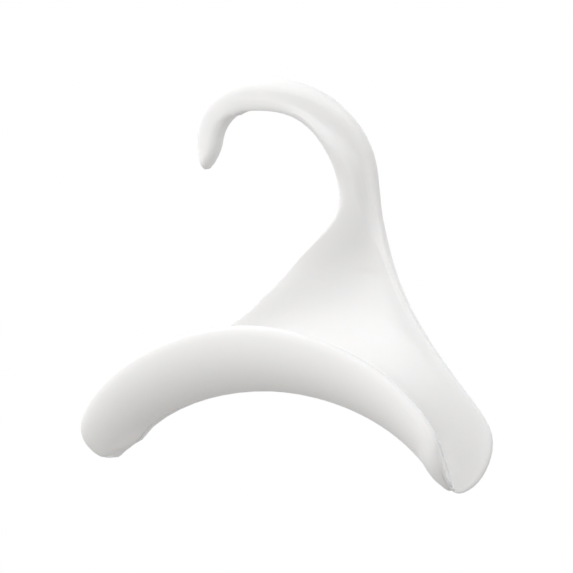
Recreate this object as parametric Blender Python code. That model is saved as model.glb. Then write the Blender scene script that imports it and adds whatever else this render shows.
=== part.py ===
"""Handbag hanger: a C-shaped hook on a dished panel, with an arched trough for the bag's handles.

Two rigid mouldings. The panel moulding is one loft from the arched lower rim, up the dished panel and the
slim neck, to the tip of the hook. The trough moulding is a scooped band swept along the same arch. A
tongue on its rear edge sits in a groove in the panel.

Sizes are in millimetres, in a drawing frame with X from the middle of the arch, Y back from the middle of
the panel's wall and Z up from the crown of the arch. The meshes are in metres, and the place where the
rail touches the hook is their origin.
"""
from math import cos, pi, radians, sin

import bmesh
import bpy
import numpy as np

MM = 0.001

# Arch that both mouldings follow, seen from the front
HALF_SPAN = 75.1
RISE = 34.1
SWEEP = radians(66.7)

# Walls, and the joint between the mouldings
PANEL_WALL = 3.0
TROUGH_WALL = 3.0
CLEARANCE = 0.3
TONGUE_WIDTH = 1.2
TONGUE_DEPTH = 0.9
TONGUE_SHARE = 0.9
JOINT_LAND = 4.5
LAND_BLEND = 20.0

# Trough: its height and its depth from the panel, in the middle and at the feet
TROUGH_HEIGHT = 27.3
TROUGH_HEIGHT_FOOT = 15.2
TROUGH_DEPTH = 24.0
TROUGH_DEPTH_FOOT = 27.0
END_ROUND_DEPTH = 12.7
END_ROUND_HEIGHT = 8.4
END_POWER_DEPTH = 0.65
END_POWER_HEIGHT = 0.56
TROUGH_SHARE = 0.998
TROUGH_STATIONS = 49
DEPTH_POWER = 3.0
HEIGHT_POWER = 1.6
TROUGH_WALL_SHARE = 0.35

# Ears of the panel: reach and lift from the foot of the arch, and the pull of their curves
EAR_REACH = 16.7
EAR_LIFT = 20.0
EAR_LIFT_LEFT = 15.0
EAR_HEADING = 39.8
EAR_PULL_FOOT = 7.9
EAR_PULL_SIDE = 11.2
EAR_PULL_TOP_RIGHT = 10.7
EAR_PULL_TOP_LEFT = 7.0

# Waists between the ears and the neck: place, heading, and the pulls towards the ear and the neck
WAIST_RIGHT_X = 50.8
WAIST_RIGHT_HEIGHT = 48.0
WAIST_RIGHT_HEADING = 112.0
WAIST_RIGHT_PULLS = (34.0, 14.5)
WAIST_LEFT_X = 4.2
WAIST_LEFT_HEIGHT = 49.0
WAIST_LEFT_HEADING = 49.5
WAIST_LEFT_PULLS = (39.5, 16.0)

# Columns of the panel leave the arch squarely, and their outer ones spread to the ears
CROWN_PULL = 16.0
DROP_RIGHT = 63.0
DROP_LEFT = 26.0
FOOT_PULL = 22.0
EAR_SPREAD = 3.0
SIDE_LEAD = 0.14
SIDE_LEAD_END = 0.35

# Neck, with the furrow that runs up its front beside a bead and fades on the hook
NECK_LEFT = 30.3
NECK_RIGHT = 46.0
NECK_HEIGHT = 80.0
NECK_HEADING_RIGHT = 86.0
NECK_HEADING_LEFT = 93.0
NECK_PULL_RIGHT = 11.5
NECK_PULL_LEFT = 9.3
NECK_THICKNESS = 8.0
BEAD_NECK = 2.1
FURROW_DIP_PANEL = 0.5
FURROW_DIP_NECK = 0.6
FURROW_WIDTH_PANEL = 3.0
FURROW_WIDTH_NECK = 4.2
FURROW_FROM_EDGE_PANEL = 2.5
FURROW_FROM_EDGE_NECK = 3.8
FURROW_FROM_EDGE_HOOK = 9.5

# Shares of the panel's length, then of the hook's, over which these forms blend
NECK_START = 0.7
FURROW_START, FURROW_FULL = 0.45, 0.75
DISH_PEAK = 0.45
BEAD_END = 0.4
FURROW_TURN = 0.2
THICK_END = 0.35
CHANNEL_START, CHANNEL_FULL = 0.2, 0.45
FLAT_START, FLAT_FULL = 0.4, 0.6

# Shares of a short row that a rim, the furrow's bottom and the whole furrow may take up
RIM_SHARE = 0.46
BOTTOM_SHARE = 0.6
FURROW_SHARE = 0.7

# Hook, seen from the front
HOOK_TOP_X = -0.3
HOOK_TOP = 124.0
HOOK_THICKNESS = 9.7
SEAT_X = -4.5
SEAT_HEIGHT = 111.1
TIP_OUTER_X = -28.5
TIP_INNER_X = -17.3
TIP_SIDE_HEIGHT = 100.3
TIP_X = -25.3
TIP_HEIGHT = 89.1
OUTER_PULLS = (29.3, 27.0, 14.3, 16.3, 6.3, 2.5)
INNER_PULLS = (23.0, 22.5, 6.6, 4.0, 4.0, 2.5)
TIP_INNER_HEADING = -98.0
TIP_HEADING = 20.0
TIP_ROUND = 5.0
CHANNEL_DEPTH = 1.4
CHANNEL_SHOULDER = 0.35
CHANNEL_HEIGHTS = (-0.93, -0.72, -0.66, 0, 0.66, 0.72, 0.93)

# Depth of the dish, and the lean of the hook towards the front
DISH = 9.0
RIM_SWAY = 1.9
DISH_VALLEY = 0.3
LEAN = 0.16
LEAN_START = 70.0
LEAN_BLEND = 20.0
FORWARD = 13.5
FORWARD_START = 46.0
FORWARD_END = 108.0

# Fineness of the lofts, and the share of the panel's length where its even rows begin
FIRST_ROW = 0.03
SIDE_STEPS = (24, 36, 20)
SPAN_STEPS = (16, 12, 8)
PANEL_ROWS = 34
COLUMNS = 81
FLAT_POINTS = 11
FURROW_POINTS = 12
RIM_ANGLES = np.radians([67.5, 45, 22.5, 0, -22.5, -45, -67.5])


def ease(start, end, x):
    """Zero before start and one after end, with a smooth rise between them."""
    t = np.clip((np.asarray(x, float) - start) / (end - start), 0, 1)
    return t * t * (3 - 2 * t)


def round_edge(distance, radius):
    """Share of the full thickness at a distance from a rounded edge."""
    inside = np.clip(1 - np.asarray(distance, float) / radius, 0, 1)
    return np.sqrt(1 - inside ** 2)


def bezier(start, pull_start, pull_end, end, steps):
    """Points of a cubic curve, from its two ends and their handles."""
    t = np.linspace(0, 1, steps + 1)[:, None]
    return ((1 - t) ** 3 * start + 3 * t * (1 - t) ** 2 * pull_start
            + 3 * t ** 2 * (1 - t) * pull_end + t ** 3 * end)


def by_length(points, shares):
    """Points at the given shares of a curve's length."""
    steps = np.linalg.norm(np.diff(points, axis=0), axis=1)
    length = np.concatenate([[0], np.cumsum(steps)])
    return np.stack([np.interp(shares * length[-1], length, axis) for axis in points.T], -1)


def arch(t):
    """Points and outward normals of the arch, from the left foot at -1 to the right foot at 1."""
    angle = np.asarray(t) * SWEEP
    points = np.stack([HALF_SPAN * np.sin(angle) / sin(SWEEP),
                       -RISE * (1 - np.cos(angle)) / (1 - cos(SWEEP))], -1)
    normals = np.stack([RISE * np.sin(angle) / (1 - cos(SWEEP)),
                        HALF_SPAN * np.cos(angle) / sin(SWEEP)], -1)
    return points, normals / np.linalg.norm(normals, axis=-1, keepdims=True)


def lean(height):
    """How far forward the moulding stands at a height above the crown of the arch: neck first, then hook."""
    height = np.asarray(height, float)
    above = np.clip(height - LEAN_START, 0, None)
    tilt = LEAN * np.where(above < LEAN_BLEND, above ** 2 / (2 * LEAN_BLEND), above - LEAN_BLEND / 2)
    return -tilt - FORWARD * ease(FORWARD_START, FORWARD_END, height)


def material(name, colour, roughness):
    """Plastic with one colour and one roughness."""
    result = bpy.data.materials.new(name)
    result.use_nodes = True
    shader = result.node_tree.nodes["Principled BSDF"]
    shader.inputs["Base Color"].default_value = (*colour, 1)
    shader.inputs["Roughness"].default_value = roughness
    shader.inputs["Metallic"].default_value = 0
    return result


def loft(name, rings, surface, flat_ends=True):
    """Skin a row of rings as one solid; without flat ends, its end rings have shrunk to a line or a point."""
    origin = np.array([SEAT_X, float(lean(SEAT_HEIGHT)), SEAT_HEIGHT])
    mesh = bpy.data.meshes.new(name)
    bm = bmesh.new()
    loops = [[bm.verts.new((point - origin) * MM) for point in ring] for ring in rings]
    for before, after in zip(loops[:-1], loops[1:]):
        for i in range(len(before)):
            j = (i + 1) % len(before)
            bm.faces.new((before[i], before[j], after[j], after[i]))
    if flat_ends:
        bm.faces.new(loops[0])
        bm.faces.new(loops[-1])
    bmesh.ops.remove_doubles(bm, verts=bm.verts, dist=1e-6)
    bmesh.ops.dissolve_degenerate(bm, edges=bm.edges, dist=1e-6)
    bmesh.ops.recalc_face_normals(bm, faces=bm.faces)
    bm.to_mesh(mesh)
    bm.free()
    mesh.shade_smooth()
    mesh.set_sharp_from_angle(angle=radians(35))
    mesh.materials.append(surface)
    piece = bpy.data.objects.new(name, mesh)
    bpy.context.collection.objects.link(piece)
    return piece


def boolean(piece, other, operation):
    """Join the other solid to the piece, or cut it away, and hide the other solid."""
    step = piece.modifiers.new(other.name, "BOOLEAN")
    step.operation = operation
    step.solver = "EXACT"
    step.object = other
    other.hide_render = True
    other.display_type = "WIRE"


def along_arch(t, section):
    """Place a section, drawn as depth and height from the arch, on the arch's normal at t."""
    point, normal = arch(t)
    place = np.empty((len(section), 3))
    place[:, 0] = point[0] + normal[0] * section[:, 1]
    place[:, 1] = section[:, 0]
    place[:, 2] = point[1] + normal[1] * section[:, 1]
    return place


def trough_section(t):
    """Scoop in a quarter of an ellipse: outer side from the panel up, round lip, inner side back."""
    t = abs(t)
    depth = TROUGH_DEPTH + (TROUGH_DEPTH_FOOT - TROUGH_DEPTH) * t ** DEPTH_POWER
    depth *= (1 - t ** END_ROUND_DEPTH) ** END_POWER_DEPTH
    height = TROUGH_HEIGHT + (TROUGH_HEIGHT_FOOT - TROUGH_HEIGHT) * t ** HEIGHT_POWER
    height *= (1 - t ** END_ROUND_HEIGHT) ** END_POWER_HEIGHT
    wall = min(TROUGH_WALL, TROUGH_WALL_SHARE * min(height, depth))
    back = -PANEL_WALL / 2 - CLEARANCE
    rise = height - wall / 2
    turn = np.linspace(0, pi / 2, 16)
    outer = np.stack([back - depth * np.sin(turn), rise * (1 - np.cos(turn))], -1)
    along = np.stack([-depth * np.cos(turn), rise * np.sin(turn)], -1)
    along /= np.linalg.norm(along, axis=1, keepdims=True)
    inner = outer + np.stack([along[:, 1], -along[:, 0]], -1) * wall
    over = np.linspace(0, pi, 7)[1:-1]
    lip = np.stack([back - depth + wall / 2 * (1 - np.cos(over)), rise + wall / 2 * np.sin(over)], -1)
    return np.concatenate([outer, lip, inner[::-1]])


def joint_bar(name, width, front, back, end, surface):
    """Flat bar along the middle of the trough's rear edge."""
    low, high = TROUGH_WALL / 2 - width / 2, TROUGH_WALL / 2 + width / 2
    section = np.array([(front, low), (back, low), (back, high), (front, high)])
    return loft(name, [along_arch(t, section) for t in np.linspace(-end, end, TROUGH_STATIONS)], surface)


def handle_trough(surface):
    """Arched trough that the bag's handles lie in, with the tongue along its rear edge."""
    stations = TROUGH_SHARE * np.sin(np.linspace(-pi / 2, pi / 2, TROUGH_STATIONS))
    trough = loft("handle_trough", [along_arch(t, trough_section(t)) for t in stations], surface)
    face = -PANEL_WALL / 2
    tongue = joint_bar("tongue", TONGUE_WIDTH, face - CLEARANCE - TROUGH_WALL / 2, face + TONGUE_DEPTH,
                       TONGUE_SHARE, surface)
    boolean(trough, tongue, "UNION")
    return trough


def outline(knots, steps):
    """Spans of an outline; a knot is a point, its heading in degrees, and the pull before and after it."""
    spans = []
    for (x0, z0, heading0, _, after), (x1, z1, heading1, before, _), count in zip(knots, knots[1:], steps):
        start, end = np.array([x0, z0]), np.array([x1, z1])
        out = np.array([cos(radians(heading0)), sin(radians(heading0))])
        into = np.array([cos(radians(heading1)), sin(radians(heading1))])
        spans.append(bezier(start, start + after * out, end - before * into, end, count))
    return spans


def outlines():
    """Right and left outlines of the panel moulding, from the feet of the arch to the tip of the hook."""
    foot_x, foot_z = HALF_SPAN, -RISE
    ear_x, ear_z = foot_x + EAR_REACH, foot_z + EAR_LIFT
    steps = SIDE_STEPS + SPAN_STEPS
    p, q = OUTER_PULLS, INNER_PULLS
    right = outline([(foot_x, foot_z, -EAR_HEADING, 0, EAR_PULL_FOOT),
                     (ear_x, ear_z, 90, EAR_PULL_SIDE, EAR_PULL_TOP_RIGHT),
                     (WAIST_RIGHT_X, WAIST_RIGHT_HEIGHT, WAIST_RIGHT_HEADING, *WAIST_RIGHT_PULLS),
                     (NECK_RIGHT, NECK_HEIGHT, NECK_HEADING_RIGHT, NECK_PULL_RIGHT, p[0]),
                     (HOOK_TOP_X, HOOK_TOP, 180, p[1], p[2]),
                     (TIP_OUTER_X, TIP_SIDE_HEIGHT, -90, p[3], p[4]),
                     (TIP_X, TIP_HEIGHT, -TIP_HEADING, p[5], 0)], steps)
    left = outline([(-foot_x, foot_z, 180 + EAR_HEADING, 0, EAR_PULL_FOOT),
                    (-ear_x, foot_z + EAR_LIFT_LEFT, 90, EAR_PULL_SIDE, EAR_PULL_TOP_LEFT),
                    (WAIST_LEFT_X, WAIST_LEFT_HEIGHT, WAIST_LEFT_HEADING, *WAIST_LEFT_PULLS),
                    (NECK_LEFT, NECK_HEIGHT, NECK_HEADING_LEFT, NECK_PULL_LEFT, q[0]),
                    (SEAT_X, SEAT_HEIGHT, 180, q[1], q[2]),
                    (TIP_INNER_X, TIP_SIDE_HEIGHT, TIP_INNER_HEADING, q[3], q[4]),
                    (TIP_X, TIP_HEIGHT, 180 + TIP_HEADING, q[5], 0)], steps)
    return left, right


def dish_profile(s, valley):
    """Zero at both sides of a row and one at the valley, with a smooth bottom."""
    share = np.minimum((s + 1) / (valley + 1), (1 - s) / (1 - valley))
    return 0.5 - 0.5 * np.cos(pi * np.clip(share, 0, 1))


def panel_rows(left, right):
    """Middle surface of the panel in rows from the arched rim to the neck, and the walls along it."""
    s = np.linspace(-1, 1, COLUMNS)
    feet, normals = arch(s)
    edge_rows = PANEL_WALL / 2 * (1 - np.cos(np.radians([0, 30, 55, 80]))) / NECK_HEIGHT
    v = np.concatenate([edge_rows, np.linspace(FIRST_ROW, 1, PANEL_ROWS)])
    columns = []
    for share, foot, normal in zip((s + 1) / 2, feet, normals):
        side = abs(2 * share - 1)
        neck = np.array([NECK_LEFT + (NECK_RIGHT - NECK_LEFT) * share, NECK_HEIGHT])
        pull = CROWN_PULL + (FOOT_PULL - CROWN_PULL) * side
        drop = DROP_LEFT + (DROP_RIGHT - DROP_LEFT) * share
        column = bezier(foot, foot + pull * normal, neck - np.array([0, drop]), neck, 80)
        columns.append(by_length(column, v))
    grid = np.stack(columns, 1)
    for sign, spans, edge in ((-1, left, 0), (1, right, -1)):
        lead = SIDE_LEAD * (1 - v) * ease(0, SIDE_LEAD_END, v)
        side_line = by_length(np.vstack([spans[0], spans[1][1:], spans[2][1:]]), v + lead)
        weight = np.clip(sign * s, 0, 1) ** EAR_SPREAD
        grid = grid + weight[None, :, None] * (side_line - grid[:, edge])[:, None]
    depth = DISH * ease(0, DISH_PEAK, v) * (1 - ease(DISH_PEAK, 1, v))
    valley = DISH_VALLEY * ease(0, DISH_PEAK, v)
    sway = -RIM_SWAY * np.sin(2 * pi * v) * (1 - v)
    y = sway[:, None] + depth[:, None] * dish_profile(s[None, :], valley[:, None])
    y *= ease(JOINT_LAND, JOINT_LAND + LAND_BLEND, distance_to_arch(grid))
    y += lean(grid[..., 1])
    rise = ease(NECK_START, 1, v)
    half = PANEL_WALL / 2 + (NECK_THICKNESS - PANEL_WALL) / 2 * rise
    bead = PANEL_WALL / 2 + (BEAD_NECK - PANEL_WALL / 2) * rise
    dip = FURROW_DIP_PANEL * ease(FURROW_START, FURROW_FULL, v) + (FURROW_DIP_NECK - FURROW_DIP_PANEL) * rise
    from_edge = FURROW_FROM_EDGE_PANEL + (FURROW_FROM_EDGE_NECK - FURROW_FROM_EDGE_PANEL) * rise
    width = FURROW_WIDTH_PANEL + (FURROW_WIDTH_NECK - FURROW_WIDTH_PANEL) * rise
    walls = np.stack([half, bead, dip, from_edge, width, 0 * v], -1)
    return np.stack([grid[..., 0], y, grid[..., 1]], -1), walls


def distance_to_arch(points):
    """Distance from points in the front view to the arch."""
    line, _ = arch(np.linspace(-1, 1, 1201))
    flat = points.reshape(-1, 2)
    gaps = [np.sqrt(((line - point) ** 2).sum(1).min()) for point in flat]
    return np.array(gaps).reshape(points.shape[:-1])


def hook_rows(left, right):
    """Middle surface of the hook in straight rows from the neck to the tip, and the walls along it."""
    inner = np.vstack([span[1:] for span in left[3:]])
    outer = np.vstack([span[1:] for span in right[3:]])
    s = np.linspace(-1, 1, COLUMNS)
    share = ((s + 1) / 2)[None, :, None]
    plane = inner[:, None] * (1 - share) + outer[:, None] * share
    q = np.arange(1, len(inner) + 1) / len(inner)
    half = NECK_THICKNESS / 2 + (HOOK_THICKNESS - NECK_THICKNESS) / 2 * ease(0, THICK_END, q)
    rise = ease(0, BEAD_END, q)
    bead = BEAD_NECK + (HOOK_THICKNESS / 2 - BEAD_NECK) * rise
    turn = ease(0, FURROW_TURN, q)
    from_edge = FURROW_FROM_EDGE_NECK + (FURROW_FROM_EDGE_HOOK - FURROW_FROM_EDGE_NECK) * turn
    walls = np.stack([half, bead, FURROW_DIP_NECK * (1 - rise), from_edge, FURROW_WIDTH_NECK + 0 * q,
                      ease(CHANNEL_START, CHANNEL_FULL, q)], -1)
    flat = lean(SEAT_HEIGHT) - LEAN * (plane[..., 1] - SEAT_HEIGHT)
    tip_side = ease(FLAT_START, FLAT_FULL, q)[:, None]
    y = lean(plane[..., 1]) * (1 - tip_side) + flat * tip_side
    return np.stack([plane[..., 0], y, plane[..., 1]], -1), walls


def surface_normals(rows):
    """Normals of the middle surface, all turned to the front."""
    normals = np.cross(np.gradient(rows, axis=1), np.gradient(rows, axis=0))
    length = np.linalg.norm(normals, axis=-1, keepdims=True)
    normals = np.where(length > 1e-9, normals / np.maximum(length, 1e-9), [0, -1, 0])
    normals[normals[..., 1] > 0] *= -1
    return normals


def front_height(place, total, radius, walls):
    """Height of the front over the middle surface: full on the inner side, a furrow, and the outer bead."""
    half, bead, dip, from_edge, width, _ = walls
    bead = min(bead, radius)
    crest = 2 * bead * half / radius - half
    bottom = total - min(from_edge, BOTTOM_SHARE * total)
    outside = np.clip((total - bead - place) / max(total - bead - bottom, 1e-6), 0, 1)
    inside = np.clip((bottom - place) / min(bottom, width), 0, 1)
    furrow = crest - dip * (0.5 - 0.5 * np.cos(pi * outside))
    return furrow + (half - crest + dip) * (0.5 - 0.5 * np.cos(pi * inside)) * (place < bottom)


def wall_ring(row, normals, walls):
    """Ring round one row: furrowed front, outer bead, back, and inner rim, which the channel hollows."""
    half, bead, _, from_edge, width, channel = walls
    steps = np.linalg.norm(np.diff(row, axis=0), axis=1)
    length = np.concatenate([[0], np.cumsum(steps)])
    total = max(length[-1], 0.01)
    radius = min(half, RIM_SHARE * total)
    bead = min(bead, radius)
    plain = total - bead - radius
    fine = total - bead - min(from_edge + width, FURROW_SHARE * plain)
    front = np.concatenate([np.linspace(radius, fine, FLAT_POINTS, endpoint=False),
                            np.linspace(fine, total - bead, FURROW_POINTS)])
    outer = total - bead * (1 - np.cos(RIM_ANGLES))
    back = front[::-1]
    inner = radius * (1 - np.cos(RIM_ANGLES[::-1]))
    inner_half = half * np.sin(RIM_ANGLES[::-1])
    shoulder = CHANNEL_SHOULDER * radius
    hollow = np.array([shoulder, 0, CHANNEL_DEPTH, CHANNEL_DEPTH, CHANNEL_DEPTH, 0, shoulder])
    hollow_half = half * np.array(CHANNEL_HEIGHTS)
    inner = inner * (1 - channel) + hollow * channel
    inner_half = inner_half * (1 - channel) + hollow_half * channel
    rim = bead * half / radius
    place = np.concatenate([front, outer, back, inner])
    offset = np.concatenate([front_height(front, total, radius, walls), rim - half + rim * np.sin(RIM_ANGLES),
                             -half + 0 * back, inner_half])
    points = np.stack([np.interp(place, length, axis) for axis in row.T], -1)
    directions = np.stack([np.interp(place, length, axis) for axis in normals.T], -1)
    directions /= np.linalg.norm(directions, axis=1, keepdims=True)
    return points, directions * offset[:, None]


def hook_panel(surface):
    """Hook, neck and dished panel in one moulding, with the groove for the trough's tongue."""
    left, right = outlines()
    panel, panel_walls = panel_rows(left, right)
    hook, hook_walls = hook_rows(left, right)
    rows = np.concatenate([panel, hook])
    walls = np.concatenate([panel_walls, hook_walls])
    normals = surface_normals(rows)
    tip = rows[-1, COLUMNS // 2]
    rings = []
    for number, row in enumerate(rows):
        points, offsets = wall_ring(row, normals[number], walls[number])
        if number == 0:
            closing = 0
        elif number < len(panel):
            closing = round_edge(distance_to_arch(points[:, [0, 2]]), PANEL_WALL / 2)[:, None]
        else:
            closing = round_edge(np.linalg.norm(row[COLUMNS // 2] - tip), TIP_ROUND)
        rings.append(points + offsets * closing)
    moulding = loft("hook_panel", rings, surface, flat_ends=False)
    face = -PANEL_WALL / 2
    groove = joint_bar("groove", TONGUE_WIDTH + 2 * CLEARANCE, face - TROUGH_WALL,
                       face + TONGUE_DEPTH + CLEARANCE, TONGUE_SHARE + CLEARANCE / HALF_SPAN, surface)
    boolean(moulding, groove, "DIFFERENCE")
    return moulding


def main():
    for item in list(bpy.data.objects):
        bpy.data.objects.remove(item)
    white = (0.86, 0.86, 0.85)
    hook_panel(material("panel_plastic", white, 0.36))
    handle_trough(material("trough_plastic", white, 0.36))


if __name__ == "__main__":
    main()
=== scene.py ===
"""Handbag hanger in satin white plastic: finished skins of its two mouldings, in a pale studio."""
from math import cos, pi, radians, sin

import bpy
from bpy.props import FloatProperty, FloatVectorProperty, PointerProperty
from mathutils import Matrix, Vector


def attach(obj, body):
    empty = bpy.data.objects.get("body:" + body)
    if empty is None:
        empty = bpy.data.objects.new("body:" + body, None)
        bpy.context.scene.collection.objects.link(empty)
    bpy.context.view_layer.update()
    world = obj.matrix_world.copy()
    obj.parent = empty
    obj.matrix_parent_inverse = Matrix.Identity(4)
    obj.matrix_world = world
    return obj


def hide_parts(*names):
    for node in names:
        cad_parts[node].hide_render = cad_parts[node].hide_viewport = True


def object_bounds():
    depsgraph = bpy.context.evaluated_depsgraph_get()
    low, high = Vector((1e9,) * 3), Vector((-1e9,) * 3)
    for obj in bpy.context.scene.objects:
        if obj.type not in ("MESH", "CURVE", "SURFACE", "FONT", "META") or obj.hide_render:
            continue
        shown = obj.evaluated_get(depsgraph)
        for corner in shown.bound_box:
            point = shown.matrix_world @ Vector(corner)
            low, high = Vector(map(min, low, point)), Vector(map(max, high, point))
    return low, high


bl_info = {
    "name": "Handbag Hanger",
    "version": (1, 0, 0),
    "blender": (4, 5, 0),
    "location": "View3D > Sidebar > Hanger",
    "description": "Builds a moulded handbag hanger and the studio it is shown in",
    "category": "Object",
}

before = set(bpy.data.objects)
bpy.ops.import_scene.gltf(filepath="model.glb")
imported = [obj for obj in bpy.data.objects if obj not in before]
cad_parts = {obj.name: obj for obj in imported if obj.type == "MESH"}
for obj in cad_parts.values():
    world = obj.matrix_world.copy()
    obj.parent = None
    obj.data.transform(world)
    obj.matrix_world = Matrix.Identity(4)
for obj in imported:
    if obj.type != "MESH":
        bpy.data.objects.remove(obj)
CAD_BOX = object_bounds()
BODY = "root"
MM = 0.001
WHITE = (1, 1, 1, 1)

# Camera
SENSOR_WIDTH = 36.0
CLIP_START = 0.01

# Soft boxes round the object: degrees to the camera's right, degrees above the level, power in watts
LAMPS = {
    "front_high": (0, 30, 4.7),
    "front_steep": (0, 60, 2.0),
    "front_left_level": (-60, -5, 1.7),
    "front_left_high": (-45, 30, 1.5),
    "front_left_low": (-60, -35, 0.9),
    "right_low": (80, -40, 0.8),
    "left_high": (-90, 30, 4.6),
    "right_high": (90, 30, 0.6),
    "back_left_high": (-135, 30, 7.0),
    "back_right_high": (135, 30, 3.0),
}
# Soft boxes lower than this many degrees have the low colour
LOW_BOX_ANGLE = -10

# Floor: its side in metres, its grey, and the light that the camera sees it give off
FLOOR_SIDE = 6
FLOOR_COLOUR = (0.6, 0.6, 0.6, 1)
FLOOR_GLOW = 0.7

# Plastic, seen as a solid
REFRACTION = 1.43
SPECULAR_LEVEL = 0.35
SCATTER_WEIGHT = 0.12
SCATTER_RADIUS = (1.0, 0.85, 0.7)
SCATTER_SCALE = 0.0025

# Moulded surface
GRAIN = {"Scale": 2600, "Detail": 2}
WAVES = {"Scale": 45, "Detail": 1}
PATCHES = {"Scale": 70, "Detail": 4, "Roughness": 0.6}
PATCH_RANGE = {"To Min": -0.05, "To Max": 0.05}
CLOUDS = {"Scale": 28, "Detail": 3}
CLOUD_RANGE = {"From Min": 0.3, "From Max": 0.7, "To Max": 0.35}
CLOUD_TINT = (0.988, 0.982, 0.968, 1)

# Sockets of a mix node that hold colours
MIX_FACTOR, MIX_FIRST, MIX_SECOND, MIX_RESULT = 0, 6, 7, 2

# Merging and smoothing of the mouldings
MERGE_DISTANCE = 0.02 * MM
PAIRING_ANGLE = radians(50)
CREASE_ANGLE = radians(40)

# Pulls, listed in millimetres: middle and radius of what is picked, move, and reach of the pull
LEFT_FOOT_OUT = ((-63, 17, -136), 4, (0.8, 0, -0.8), 9)
PANEL_PULLS = {
    "hook_right_out": ((48, 5, -14), 4, (0.7, 0, 0), 16),
    "panel_left_in": ((-14, 18, -83), 4, (1.6, 0, 0), 12),
    "left_foot_up": ((-70, 19, -143), 5, (0, 0, 2.8), 8),
    "left_foot_out": LEFT_FOOT_OUT,
    "neck_back": ((42, 10, -36), 6, (0, 1.0, 0), 30),
}
TROUGH_PULLS = {
    "right_end_in": ((85, -1, -133), 4, (-2.2, 0, 0), 10),
    "left_foot_up": ((-70, 15.5, -144), 3, (0, 0, 2.2), 8),
    "left_foot_out": LEFT_FOOT_OUT,
}

# Furrow of the neck: bounds in millimetres, how its normals face, and passes of smoothing
FURROW_LOW = -62
FURROW_HIGH = -6
FURROW_LEFT = 33
FURROW_FACING = -0.1
FURROW_PASSES = 12

# Inner side of the tip, likewise
TIP_RIGHT = -6
TIP_LOW = -26
TIP_FACING = 0.2
TIP_PASSES = 20
EASE_FACTOR = 0.5

# Top of the lip: bound in millimetres, how its normals face, its lean and the reach of that
LIP_BACK = 2
LIP_FACING = 0.35
LIP_LEAN = (0, 0.5, 0)
LIP_REACH = 3.5

# Web that closes the channel at the right foot, in millimetres
WEB_STEPS = 16
WEB_LIP_X = 80.9
WEB_LIP_SWELL = 2.0
WEB_EAR_X = 74.5
WEB_EAR_RUN = 6.0
WEB_TOP = -121.5
WEB_BACK = 17.3
WEB_DEPTH = 22.8
WEB_HEIGHT = 23.0
WEB_DROP = 6.0
WEB_SCOOP = 2.5
WEB_WALL = 0.8


class PlasticSettings(bpy.types.PropertyGroup):
    """Finish of the moulded plastic."""

    colour: FloatVectorProperty(
        name="Colour", description="Colour of the plastic", subtype="COLOR", size=3, min=0, max=1,
        default=(0.875, 0.875, 0.873))
    roughness: FloatProperty(
        name="Roughness", description="Roughness of the satin surface", subtype="FACTOR", min=0, max=1,
        default=0.5)
    grain: FloatProperty(
        name="Grain height", description="Height of the fine moulded grain", subtype="DISTANCE", min=0,
        default=0.012 * MM)
    waviness: FloatProperty(
        name="Waviness", description="Height of the slow waves left by cooling", subtype="DISTANCE", min=0,
        default=0.05 * MM)


class StudioSettings(bpy.types.PropertyGroup):
    """Camera, light and floor."""

    azimuth: FloatProperty(
        name="Azimuth", description="Turn of the camera to the right of the front", subtype="ANGLE",
        default=radians(26.635))
    elevation: FloatProperty(
        name="Elevation", description="Height of the camera over the level", subtype="ANGLE",
        default=radians(0.14))
    roll: FloatProperty(
        name="Roll", description="Turn of the picture, clockwise", subtype="ANGLE",
        default=radians(0.75))
    distance: FloatProperty(
        name="Distance", description="From the camera to the point it looks at", subtype="DISTANCE",
        default=0.5109)
    focal_length: FloatProperty(
        name="Focal length", description="Lens, for a sensor 36 mm wide", default=81.23)
    target: FloatVectorProperty(
        name="Target", description="Point that the camera looks at", subtype="TRANSLATION", size=3,
        default=(0.01347, 0.00797, -0.06859))
    world: FloatProperty(
        name="World", description="Strength of the light from all round", min=0, default=0.587)
    world_colour: FloatVectorProperty(
        name="World colour", description="Colour of the light from all round", subtype="COLOR", size=3,
        min=0, max=1, default=(0.997, 0.998, 1.0))
    floor_drop: FloatProperty(
        name="Floor drop", description="Height of the hanging object over the floor", subtype="DISTANCE",
        default=1.3)
    low_colour: FloatVectorProperty(
        name="Low colour", description="Colour of the soft boxes below the object", subtype="COLOR", size=3,
        min=0, max=1, default=(1.0, 0.86, 0.7))
    lamp_side: FloatProperty(
        name="Lamp side", description="Side of each square soft box", subtype="DISTANCE", default=0.8)
    lamp_distance: FloatProperty(
        name="Lamp distance", description="From each soft box to the point the camera looks at",
        subtype="DISTANCE", default=1.4)


class HangerSettings(bpy.types.PropertyGroup):
    """Everything a user would change."""

    plastic: PointerProperty(type=PlasticSettings)
    studio: PointerProperty(type=StudioSettings)


def node(tree, kind, inputs=None, **values):
    """New node with its plain values and its inputs set."""
    result = tree.nodes.new(kind)
    for name, value in values.items():
        setattr(result, name, value)
    for name, value in (inputs or {}).items():
        result.inputs[name].default_value = value
    return result


def combine(tree, operation, first, second, **values):
    """Output of a math node that joins two sockets."""
    result = node(tree, "ShaderNodeMath", operation=operation, **values)
    tree.links.new(first, result.inputs[0])
    tree.links.new(second, result.inputs[1])
    return result.outputs[0]


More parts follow.
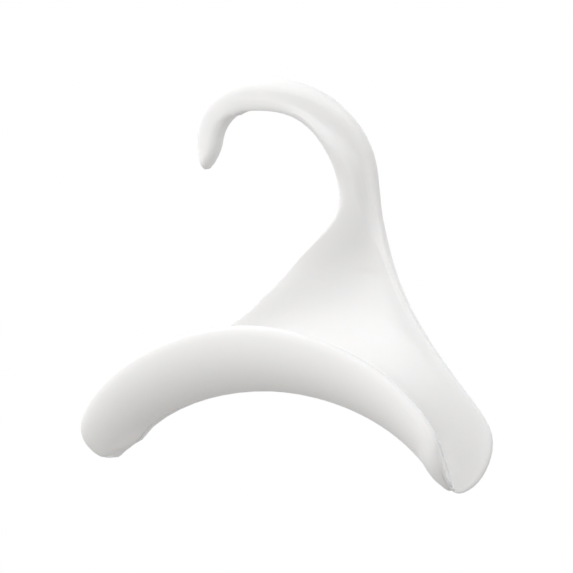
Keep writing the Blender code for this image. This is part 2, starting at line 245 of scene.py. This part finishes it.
def satin_group():
    """Node group of the moulded surface: its colour, roughness and height from the place on the object."""
    name = "moulded_satin"
    if name in bpy.data.node_groups:
        return bpy.data.node_groups[name]
    group = bpy.data.node_groups.new(name, "ShaderNodeTree")
    link = group.links.new
    for label, kind in (("Vector", "NodeSocketVector"), ("Colour", "NodeSocketColor"),
                        ("Roughness", "NodeSocketFloat"), ("Grain Height", "NodeSocketFloat"),
                        ("Wave Height", "NodeSocketFloat")):
        group.interface.new_socket(label, in_out="INPUT", socket_type=kind)
    for label, kind in (("Colour", "NodeSocketColor"), ("Roughness", "NodeSocketFloat"),
                        ("Height", "NodeSocketFloat")):
        group.interface.new_socket(label, in_out="OUTPUT", socket_type=kind)
    entry, leave = node(group, "NodeGroupInput"), node(group, "NodeGroupOutput")

    def noise(inputs):
        """Noise over the object, from 0 to 1."""
        texture = node(group, "ShaderNodeTexNoise", inputs)
        link(entry.outputs["Vector"], texture.inputs["Vector"])
        return texture.outputs["Fac"]

    def spread(value, inputs):
        """Value carried over to another range."""
        item = node(group, "ShaderNodeMapRange", inputs)
        link(value, item.inputs["Value"])
        return item.outputs["Result"]

    # Fine grain and slow waves
    fine = combine(group, "MULTIPLY", noise(GRAIN), entry.outputs["Grain Height"])
    slow = combine(group, "MULTIPLY", noise(WAVES), entry.outputs["Wave Height"])
    link(combine(group, "ADD", fine, slow), leave.inputs["Height"])

    # Handling polishes some places and dulls others
    patches = spread(noise(PATCHES), PATCH_RANGE)
    rough = combine(group, "ADD", entry.outputs["Roughness"], patches, use_clamp=True)
    link(rough, leave.inputs["Roughness"])

    # Faint clouds in the resin
    tint = node(group, "ShaderNodeMix", data_type="RGBA", blend_type="MULTIPLY")
    tint.inputs[MIX_SECOND].default_value = CLOUD_TINT
    link(spread(noise(CLOUDS), CLOUD_RANGE), tint.inputs[MIX_FACTOR])
    link(entry.outputs["Colour"], tint.inputs[MIX_FIRST])
    link(tint.outputs[MIX_RESULT], leave.inputs["Colour"])
    return group


def satin_plastic(name):
    """Satin white plastic with the moulded surface's grain, waves and clouds."""
    settings = bpy.context.scene.hanger.plastic
    result = bpy.data.materials.new(name)
    result.use_nodes = True
    tree = result.node_tree
    shader = tree.nodes["Principled BSDF"]
    for socket, value in (("IOR", REFRACTION), ("Specular IOR Level", SPECULAR_LEVEL),
                          ("Subsurface Weight", SCATTER_WEIGHT), ("Subsurface Radius", SCATTER_RADIUS),
                          ("Subsurface Scale", SCATTER_SCALE)):
        shader.inputs[socket].default_value = value
    place = node(tree, "ShaderNodeTexCoord")
    surface = node(tree, "ShaderNodeGroup", node_tree=satin_group())
    surface.inputs["Colour"].default_value = (*settings.colour, 1)
    surface.inputs["Roughness"].default_value = settings.roughness
    surface.inputs["Grain Height"].default_value = settings.grain / MM
    surface.inputs["Wave Height"].default_value = settings.waviness / MM
    bump = node(tree, "ShaderNodeBump", {"Distance": MM})
    link = tree.links.new
    link(place.outputs["Object"], surface.inputs["Vector"])
    link(surface.outputs["Colour"], shader.inputs["Base Color"])
    link(surface.outputs["Roughness"], shader.inputs["Roughness"])
    link(surface.outputs["Height"], bump.inputs["Height"])
    link(bump.outputs["Normal"], shader.inputs["Normal"])
    return result


def select_only(piece):
    """Make one piece the only selected and the active one."""
    bpy.ops.object.select_all(action="DESELECT")
    piece.select_set(True)
    bpy.context.view_layer.objects.active = piece


def pick_points(piece, wanted):
    """Select the points of a piece that a test on place and normal wants."""
    select_only(piece)
    bpy.ops.object.mode_set(mode="EDIT")
    bpy.ops.mesh.select_mode(type="VERT")
    bpy.ops.mesh.select_all(action="DESELECT")
    bpy.ops.object.mode_set(mode="OBJECT")
    count = 0
    for point in piece.data.vertices:
        point.select = bool(wanted(point.co / MM, point.normal))
        count += point.select
    if not count:
        raise RuntimeError("nothing to shape on " + piece.name)


def nudge(piece, wanted, move, reach):
    """Pull the wanted points by a move in millimetres, and their surroundings with them."""
    pick_points(piece, wanted)
    bpy.ops.object.mode_set(mode="EDIT")
    bpy.ops.transform.translate(value=[part * MM for part in move], use_proportional_edit=True,
                                proportional_edit_falloff="SMOOTH", proportional_size=reach * MM)
    bpy.ops.object.mode_set(mode="OBJECT")


def ease(piece, wanted, passes):
    """Smooth the wanted points of a piece."""
    pick_points(piece, wanted)
    bpy.ops.object.mode_set(mode="EDIT")
    bpy.ops.mesh.vertices_smooth(factor=EASE_FACTOR, repeat=passes)
    bpy.ops.object.mode_set(mode="OBJECT")


def near(middle, radius):
    """Test for points within a radius of a place in millimetres."""
    centre = Vector(middle)
    return lambda place, normal: (place - centre).length < radius


def in_furrow(place, normal):
    """Whether a point lies on the front of the neck, where its furrow runs."""
    return FURROW_LOW < place.z < FURROW_HIGH and place.x > FURROW_LEFT and normal.y < FURROW_FACING


def inside_tip(place, normal):
    """Whether a point lies on the side of the tip that faces the hook's inside."""
    return place.x < TIP_RIGHT and place.z > TIP_LOW and normal.x > TIP_FACING


def on_lip(place, normal):
    """Whether a point lies on the rim of the band and faces neither front nor back."""
    return place.y < LIP_BACK and abs(normal.y) < LIP_FACING


def shape_hook_panel(piece):
    """Fit the hook, panel edge, left foot and neck, then ease the furrow and the tip's inner side."""
    for middle, radius, move, reach in PANEL_PULLS.values():
        nudge(piece, near(middle, radius), move, reach)
    ease(piece, in_furrow, FURROW_PASSES)
    ease(piece, inside_tip, TIP_PASSES)


def shape_handle_trough(piece):
    """Draw in the band's right end, fit the left foot and lean the lip back at its top."""
    for middle, radius, move, reach in TROUGH_PULLS.values():
        nudge(piece, near(middle, radius), move, reach)
    nudge(piece, on_lip, LIP_LEAN, LIP_REACH)


def skin(cad_name, name, surface, shape):
    """Finished copy of a moulding: doubles merged, triangles paired, surface smoothed and shaped."""
    select_only(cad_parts[cad_name])
    bpy.ops.object.duplicate()
    piece = bpy.context.object
    piece.name = name
    piece.data.name = name
    piece.parent = None
    for key in list(piece.keys()):
        del piece[key]
    bpy.ops.object.mode_set(mode="EDIT")
    bpy.ops.mesh.select_all(action="SELECT")
    bpy.ops.mesh.remove_doubles(threshold=MERGE_DISTANCE)
    bpy.ops.mesh.customdata_custom_splitnormals_clear()
    bpy.ops.mesh.tris_convert_to_quads(face_threshold=PAIRING_ANGLE, shape_threshold=PAIRING_ANGLE)
    bpy.ops.object.mode_set(mode="OBJECT")
    bpy.ops.object.shade_smooth_by_angle(angle=CREASE_ANGLE)
    finer = piece.modifiers.new("finer", "SUBSURF")
    finer.levels = finer.render_levels = 1
    bpy.ops.object.modifier_apply(modifier=finer.name)
    shape(piece)
    piece.data.materials.clear()
    piece.data.materials.append(surface)
    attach(piece, BODY)
    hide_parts(cad_name)


def end_web(name, surface):
    """Thin wall that closes the channel at the right foot, scooped where it joins the lip to the ear."""
    bpy.ops.object.select_all(action="DESELECT")
    bpy.ops.mesh.primitive_grid_add(x_subdivisions=WEB_STEPS, y_subdivisions=WEB_STEPS, size=1)
    piece = bpy.context.object
    piece.name = piece.data.name = name
    for point in piece.data.vertices:
        across, down = point.co.x + 0.5, point.co.y + 0.5
        turn = down * pi / 2
        lip = Vector((WEB_LIP_X + WEB_LIP_SWELL * sin(2 * turn), WEB_BACK - WEB_DEPTH * cos(turn),
                      WEB_TOP - WEB_HEIGHT * sin(turn)))
        ear = Vector((WEB_EAR_X + WEB_EAR_RUN * down, WEB_BACK,
                      WEB_TOP - WEB_DROP - (WEB_HEIGHT - WEB_DROP) * down))
        scoop = Vector((-WEB_SCOOP * sin(across * pi) * cos(turn), 0, 0))
        point.co = (lip.lerp(ear, across) + scoop) * MM
    select_only(piece)
    bpy.ops.object.mode_set(mode="EDIT")
    bpy.ops.mesh.select_all(action="SELECT")
    bpy.ops.mesh.normals_make_consistent(inside=False)
    bpy.ops.object.mode_set(mode="OBJECT")
    wall = piece.modifiers.new("wall", "SOLIDIFY")
    wall.thickness = WEB_WALL * MM
    wall.offset = 0
    bpy.ops.object.modifier_apply(modifier=wall.name)
    bpy.ops.object.shade_smooth()
    piece.data.materials.append(surface)
    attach(piece, BODY)


class HANGER_OT_hook_panel(bpy.types.Operator):
    """Finish the hook, neck and dished panel"""

    bl_idname = "hanger.hook_panel"
    bl_label = "Hook Panel"

    def execute(self, context):
        surface = satin_plastic("satin_white_panel")
        skin("hook_panel", "hook_panel_skin", surface, shape_hook_panel)
        return {"FINISHED"}


class HANGER_OT_handle_trough(bpy.types.Operator):
    """Finish the arched trough for the bag's handles"""

    bl_idname = "hanger.handle_trough"
    bl_label = "Handle Trough"

    def execute(self, context):
        surface = satin_plastic("satin_white_trough")
        skin("handle_trough", "handle_trough_skin", surface, shape_handle_trough)
        end_web("right_end_web", surface)
        return {"FINISHED"}


def direction(turn, rise):
    """Unit vector out of the front, turned to the right and raised by two angles."""
    return Vector((sin(turn) * cos(rise), -cos(turn) * cos(rise), sin(rise)))


def add_camera(settings):
    """Camera at the photograph's viewing angle."""
    turn, roll = settings.azimuth, settings.roll
    back = direction(turn, settings.elevation)
    right = Vector((cos(turn), sin(turn), 0))
    up = back.cross(right)
    axes = Matrix((right * cos(roll) + up * sin(roll), up * cos(roll) - right * sin(roll), back))
    bpy.ops.object.camera_add(location=Vector(settings.target) + settings.distance * back,
                              rotation=axes.transposed().to_euler())
    camera = bpy.context.object
    camera.name = "camera"
    camera.data.sensor_width = SENSOR_WIDTH
    camera.data.lens = settings.focal_length
    camera.data.clip_start = CLIP_START
    bpy.context.scene.camera = camera


def add_lamp(settings, name, right, up, power):
    """Square soft box that faces the object from an angle to the camera's right and above the level."""
    away = direction(settings.azimuth + radians(right), radians(up))
    bpy.ops.object.light_add(type="AREA", location=Vector(settings.target) + settings.lamp_distance * away,
                             rotation=away.to_track_quat("Z", "Y").to_euler())
    lamp = bpy.context.object
    lamp.name = name
    lamp.data.shape = "SQUARE"
    lamp.data.size = settings.lamp_side
    lamp.data.energy = power
    if up < LOW_BOX_ANGLE:
        lamp.data.color = settings.low_colour


def add_world(settings):
    """Even light from all round, with plain white behind the object and in reflections."""
    world = bpy.data.worlds.new("studio")
    bpy.context.scene.world = world
    world.use_nodes = True
    tree = world.node_tree
    tree.nodes.clear()
    light = node(tree, "ShaderNodeBackground",
                 {"Color": (*settings.world_colour, 1), "Strength": settings.world})
    white = node(tree, "ShaderNodeBackground", {"Color": WHITE, "Strength": 1})
    path = node(tree, "ShaderNodeLightPath").outputs
    direct = combine(tree, "MAXIMUM", path["Is Camera Ray"], path["Is Transmission Ray"])
    seen = combine(tree, "MAXIMUM", direct, path["Is Glossy Ray"])
    mix = node(tree, "ShaderNodeMixShader")
    output = node(tree, "ShaderNodeOutputWorld")
    tree.links.new(seen, mix.inputs["Fac"])
    tree.links.new(light.outputs[0], mix.inputs[1])
    tree.links.new(white.outputs[0], mix.inputs[2])
    tree.links.new(mix.outputs[0], output.inputs["Surface"])


def add_floor(settings):
    """Pale floor under the hanging object, which keeps its shadow."""
    low = CAD_BOX[0][2] - settings.floor_drop
    bpy.ops.mesh.primitive_plane_add(size=FLOOR_SIDE, location=(0, 0, low))
    floor = bpy.context.object
    floor.name = "floor"
    surface = bpy.data.materials.new("pale_floor")
    surface.use_nodes = True
    tree = surface.node_tree
    tree.nodes.clear()
    base = node(tree, "ShaderNodeBsdfDiffuse", {"Color": FLOOR_COLOUR})
    glow = node(tree, "ShaderNodeEmission", {"Color": WHITE})
    path = node(tree, "ShaderNodeLightPath")
    strength = node(tree, "ShaderNodeMath", operation="MULTIPLY")
    strength.inputs[1].default_value = FLOOR_GLOW
    both = node(tree, "ShaderNodeAddShader")
    output = node(tree, "ShaderNodeOutputMaterial")
    tree.links.new(path.outputs["Is Camera Ray"], strength.inputs[0])
    tree.links.new(strength.outputs[0], glow.inputs["Strength"])
    tree.links.new(base.outputs[0], both.inputs[0])
    tree.links.new(glow.outputs[0], both.inputs[1])
    tree.links.new(both.outputs[0], output.inputs["Surface"])
    floor.data.materials.append(surface)


class HANGER_OT_studio(bpy.types.Operator):
    """Set up the camera, the soft light and the pale floor"""

    bl_idname = "hanger.studio"
    bl_label = "Studio"

    def execute(self, context):
        settings = context.scene.hanger.studio
        add_camera(settings)
        add_world(settings)
        add_floor(settings)
        for name, values in LAMPS.items():
            add_lamp(settings, name, *values)
        context.scene.view_settings.view_transform = "Standard"
        return {"FINISHED"}


class HANGER_PT_panel(bpy.types.Panel):
    """Builds the hanger and its studio, and holds their settings"""

    bl_idname = "HANGER_PT_panel"
    bl_label = "Handbag Hanger"
    bl_space_type = "VIEW_3D"
    bl_region_type = "UI"
    bl_category = "Hanger"

    def draw(self, context):
        settings = context.scene.hanger
        for operator in OPERATORS:
            self.layout.operator(operator.bl_idname)
        for group in (settings.plastic, settings.studio):
            box = self.layout.box()
            for name in group.__annotations__:
                box.prop(group, name)


OPERATORS = (HANGER_OT_studio, HANGER_OT_hook_panel, HANGER_OT_handle_trough)
CLASSES = (PlasticSettings, StudioSettings, HangerSettings, *OPERATORS, HANGER_PT_panel)


def register():
    for item in CLASSES:
        bpy.utils.register_class(item)
    bpy.types.Scene.hanger = PointerProperty(type=HangerSettings)


def unregister():
    del bpy.types.Scene.hanger
    for item in reversed(CLASSES):
        bpy.utils.unregister_class(item)


def main():
    register()
    bpy.ops.hanger.studio()
    bpy.ops.hanger.hook_panel()
    bpy.ops.hanger.handle_trough()


if __name__ == "__main__":
    main()
